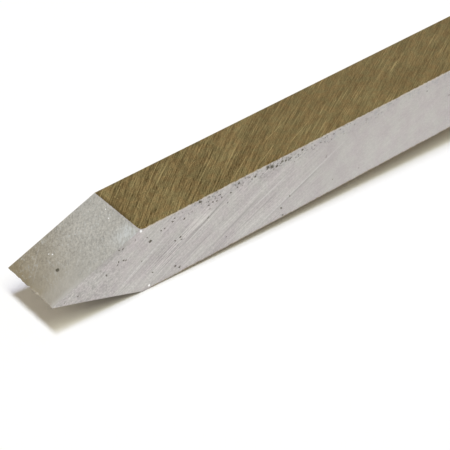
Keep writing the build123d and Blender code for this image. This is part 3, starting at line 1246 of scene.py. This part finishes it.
def makeHandleGrid():
    # One outline from the bottom of the bore, out over the tenon, along the handle and
    # round the butt to the axis again, turned about the axis
    size = handle
    x, y, z = toTool("handle").T
    radius = np.hypot(y, z)
    face = x.min()
    collarX = toTool("ferrule")[:, 0].max()
    tenonRadius = radius[x < collarX - 1].max()
    boreRadius = blade["tangDiameter"] / 2 + size["boreClearance"]
    sink = blade["tangRoot"] + size["boreClearance"]
    boreEnd = bar["tangEnd"] + size["glueRoom"]
    pointLength = boreRadius / np.tan(radians(size["drillPoint"] / 2))
    chamfer = size["tenonChamfer"]
    front = [
        (boreEnd + pointLength, 0),
        (boreEnd, boreRadius),
        (face + sink, boreRadius),
        (face, boreRadius + sink),
        (face, tenonRadius - chamfer),
        (face + chamfer, tenonRadius),
        (collarX, tenonRadius),
    ]

    collar = size["collarDiameter"] / 2
    collarEnd = collarX + size["collarLength"]
    bend = np.linspace(0, np.pi / 2, size["roundStations"])
    roundX = collarX + size["collarRound"] * (1 - np.cos(bend))
    rounded = profile(roundX, collar - size["collarRound"] * (1 - np.sin(bend)))
    half = size["grooveHalfWidth"]
    firstGroove = collarEnd - size["grooveSpacing"]
    grooves = [
        (firstGroove - half, collar),
        (firstGroove, collar - half),
        (firstGroove + half, collar),
        (collarEnd - half, collar),
        (collarEnd, collar - half),
    ]

    belly = (collarEnd + size["bellyFromCollar"], radius.max())
    waist = (belly[0] + size["waistFromBelly"], size["waistDiameter"] / 2)
    pommel = (waist[0] + size["pommelFromWaist"], size["pommelDiameter"] / 2)
    wood = np.concatenate(
        [
            swell((collarEnd, collar), belly),
            swell(belly, waist)[1:],
            swell(waist, pommel)[1:-1],
        ]
    )
    wood = wood[wood[:, 0] > collarEnd + half]
    wood = np.concatenate([[(collarEnd + half, wood[0, 1])], wood])
    outline = np.concatenate([front, rounded, grooves, wood, buttArcs(*pommel)])
    print("handle ends at", round(outline[-1, 0], 3), "and the frame's at", round(x.max(), 3))
    return turnedGrid(outline, size["columns"])


ash = {
    "pale": paint(222, 188, 140),
    "mid": paint(206, 165, 112),
    "early": paint(190, 146, 92),
    "late": paint(170, 124, 74),
    "pore": paint(118, 82, 46),
    "ringWidth": 3.3,  # mm
    "ringsVary": 2.4,  # rings gained or lost as they thicken and thin
    "pith": (-24.0, -38.0),  # across and above the axis: the tree's middle, outside the handle
    "lean": 0.04,  # how far the grain climbs for each mm along
    "sway": 16.0,  # how far it wanders across, mm
    "driftGrain": (0.012, 0.03),  # how fine each pattern is, along and across
    "fibreGrain": (0.05, 1.6),
    "fibres": (0.3, 0.7),  # noise values where they start and are full
    "poreGrain": (0.14, 2.4),
    "pores": (0.44, 0.24),  # distances from a pore's middle where it starts and is full
    "latePores": 0.1,  # strength of the pores outside the early wood
    # Where early and late wood start and are full, and where they stop, as parts of a year
    "earlyStarts": (0.95, 1.0),
    "earlyStops": (0.4, 0.04),
    "lateStarts": (0.4, 0.95),
    "lateStops": (1.0, 0.96),
    "faintest": 0.35,  # strength of the faintest ring
    "ringShade": 0.6,
    "poreShade": 0.8,
    "roughness": 0.44,
    "poreRoughness": 0.2,  # added in the pores
    "poreRelief": (0.06, 0.8),  # depth in mm, and strength
    "lacquer": 0.4,
    "lacquerRoughness": 0.2,
}


def makeAsh():
    # Year rings about the pith: open-pored early wood, then denser, darker late wood,
    # each ring as strong as its own random number
    look = ash
    material, tree, shader = newMaterial("lacquered ash")
    place = toolPlace(tree)
    x, y, z = parts(tree, place)
    drifting = {"Vector": stretched(tree, place, *look["driftGrain"]), "Scale": 1.0, "Detail": 2.0}
    drift = calc(tree, "SUBTRACT", put(tree, "TexNoise", drifting).outputs[0], 0.5)
    pithY, pithZ = look["pith"]
    across = calc(tree, "MULTIPLY_ADD", drift, look["sway"], calc(tree, "SUBTRACT", y, pithY))
    above = calc(tree, "MULTIPLY_ADD", x, look["lean"], calc(tree, "SUBTRACT", z, pithZ))
    reach = vector(tree, "LENGTH", joined(tree, 0.0, across, above))
    years = calc(tree, "DIVIDE", reach, look["ringWidth"])
    varying = {"Vector": joined(tree, years, 0.0, 0.0), "Scale": 0.3, "Detail": 1.0}
    uneven = put(tree, "TexNoise", varying).outputs[0]
    rings = calc(tree, "MULTIPLY_ADD", uneven, look["ringsVary"], years)
    season = calc(tree, "FRACT", rings)
    numbered = {"W": calc(tree, "FLOOR", rings)}
    year = put(tree, "TexWhiteNoise", numbered, noise_dimensions="1D").outputs["Value"]
    strength = calc(tree, "MULTIPLY_ADD", year, 1 - look["faintest"], look["faintest"])
    starts, stops = rise(tree, season, *look["earlyStarts"]), rise(tree, season, *look["earlyStops"])
    early = both(tree, calc(tree, "MAXIMUM", starts, stops), strength)
    starts, stops = rise(tree, season, *look["lateStarts"]), rise(tree, season, *look["lateStops"])
    late = both(tree, starts, stops, strength)

    fibrous = {"Vector": stretched(tree, place, *look["fibreGrain"]), "Scale": 1.0, "Detail": 3.0}
    fibres = rise(tree, put(tree, "TexNoise", fibrous).outputs[0], *look["fibres"])
    colour = tint(tree, fibres, look["pale"], look["mid"])
    colour = tint(tree, both(tree, early, look["ringShade"]), colour, look["early"])
    colour = tint(tree, both(tree, late, look["ringShade"]), colour, look["late"])
    porous = {"Vector": stretched(tree, place, *look["poreGrain"]), "Scale": 1.0}
    pore = rise(tree, put(tree, "TexVoronoi", porous).outputs["Distance"], *look["pores"])
    few = look["latePores"]
    pore = both(tree, pore, calc(tree, "MULTIPLY_ADD", early, 1 - few, few))
    colour = tint(tree, both(tree, pore, look["poreShade"]), colour, look["pore"])
    roughness = calc(tree, "MULTIPLY_ADD", pore, look["poreRoughness"], look["roughness"])
    dress(tree, shader, colour, roughness, both(tree, pore, -1.0), *look["poreRelief"])
    shader.inputs["Coat Weight"].default_value = look["lacquer"]
    shader.inputs["Coat Roughness"].default_value = look["lacquerRoughness"]
    return material


makePiece("handle.001", makeHandleGrid(), makeAsh())


# Floor, light and camera

studio = {
    "floorHalf": 10.0,  # metres
    "floor": (0.95, 0.95, 0.95, 1.0),
    "floorRoughness": 0.9,
    "glow": (1.0, 0.9, 0.75, 1.0),  # seen by the camera and by glossy surfaces only
    "glowStrength": 0.06,
    "fill": (1.0, 0.88, 0.68),
    "fillStrength": 0.3,
    "lampWidth": 12.0,  # degrees across
    "lampLean": -0.05,  # of every lamp, towards the cutting edge
}

# Four lamps in a row from overhead towards the near side, as a strip light: how far
# each leans that way, its power and its colour
lamps = [
    (0.0, 1.15, (0.93, 1.0, 1.26)),
    (-0.18, 0.7, (0.97, 1.0, 0.95)),
    (-0.38, 0.33, (1.0, 1.0, 0.8)),
    (-0.65, 0.26, (1.0, 1.0, 0.8)),
]


def seenDirectly(tree):
    # 1 for rays from the camera and those that a surface mirrors or lets through
    rays = put(tree, "LightPath").outputs
    seen = calc(tree, "MAXIMUM", rays["Is Camera Ray"], rays["Is Glossy Ray"])
    return calc(tree, "MAXIMUM", seen, rays["Is Transmission Ray"])


def makeFloor():
    half = studio["floorHalf"]
    corners = [(-half, -half, 0), (half, -half, 0), (half, half, 0), (-half, half, 0)]
    mesh = bpy.data.meshes.new("floor")
    mesh.from_pydata(corners, [], [(0, 1, 2, 3)])
    floor = bpy.data.objects.new("floor", mesh)
    bpy.context.scene.collection.objects.link(floor)
    material, tree, shader = newMaterial("white card")
    shader.inputs["Base Color"].default_value = studio["floor"]
    shader.inputs["Roughness"].default_value = studio["floorRoughness"]
    shader.inputs["Specular IOR Level"].default_value = 0.0
    glow = calc(tree, "MULTIPLY", seenDirectly(tree), studio["glowStrength"])
    shader.inputs["Emission Color"].default_value = studio["glow"]
    tree.links.new(glow, shader.inputs["Emission Strength"])
    mesh.materials.append(material)


def makeLight():
    for lean, power, colour in lamps:
        lamp = bpy.data.lights.new("lamp", "SUN")
        lamp.energy = power
        lamp.angle = radians(studio["lampWidth"])
        lamp.color = colour
        hung = bpy.data.objects.new("lamp", lamp)
        bpy.context.scene.collection.objects.link(hung)
        hung.rotation_mode = "QUATERNION"
        aim = Vector((studio["lampLean"], lean, 1.0))
        hung.rotation_quaternion = aim.to_track_quat("Z", "Y")
        hung.visible_glossy = False

    world = bpy.data.worlds.new("studio")
    bpy.context.scene.world = world
    world.use_nodes = True
    tree = world.node_tree
    tree.nodes.clear()
    filling = {"Color": (*studio["fill"], 1.0), "Strength": studio["fillStrength"]}
    warm = put(tree, "Background", filling).outputs[0]
    white = put(tree, "Background", {"Color": (1.0, 1.0, 1.0, 1.0), "Strength": 1.0}).outputs[0]
    mixed = put(tree, "MixShader", {0: seenDirectly(tree), 1: warm, 2: white}).outputs[0]
    put(tree, "OutputWorld", {"Surface": mixed})


photoView = {
    "place": (-83.24, -147.65, 148.61),  # tool space, mm
    "target": (26.702, -4.821, -1.213),
    "roll": 1.345,  # degrees
    "lens": 146.66,
    "sensor": 36.0,
    "clip": (0.01, 40.0),  # metres
}


def makeCamera():
    camera = bpy.data.cameras.new("camera")
    camera.lens = photoView["lens"]
    camera.sensor_width = photoView["sensor"]
    camera.clip_start, camera.clip_end = photoView["clip"]
    holder = bpy.data.objects.new("camera", camera)
    bpy.context.scene.collection.objects.link(holder)
    place, target = toFrame(np.array([photoView["place"], photoView["target"]]))
    aim = Vector(target - place).to_track_quat("-Z", "Y").to_matrix().to_4x4()
    roll = Matrix.Rotation(radians(photoView["roll"]), 4, "Z")
    holder.matrix_world = Matrix.Translation(place) @ aim @ roll
    bpy.context.scene.camera = holder


makeFloor()
makeLight()
makeCamera()
bpy.context.scene.view_settings.view_transform = "Standard"
print("studio set")
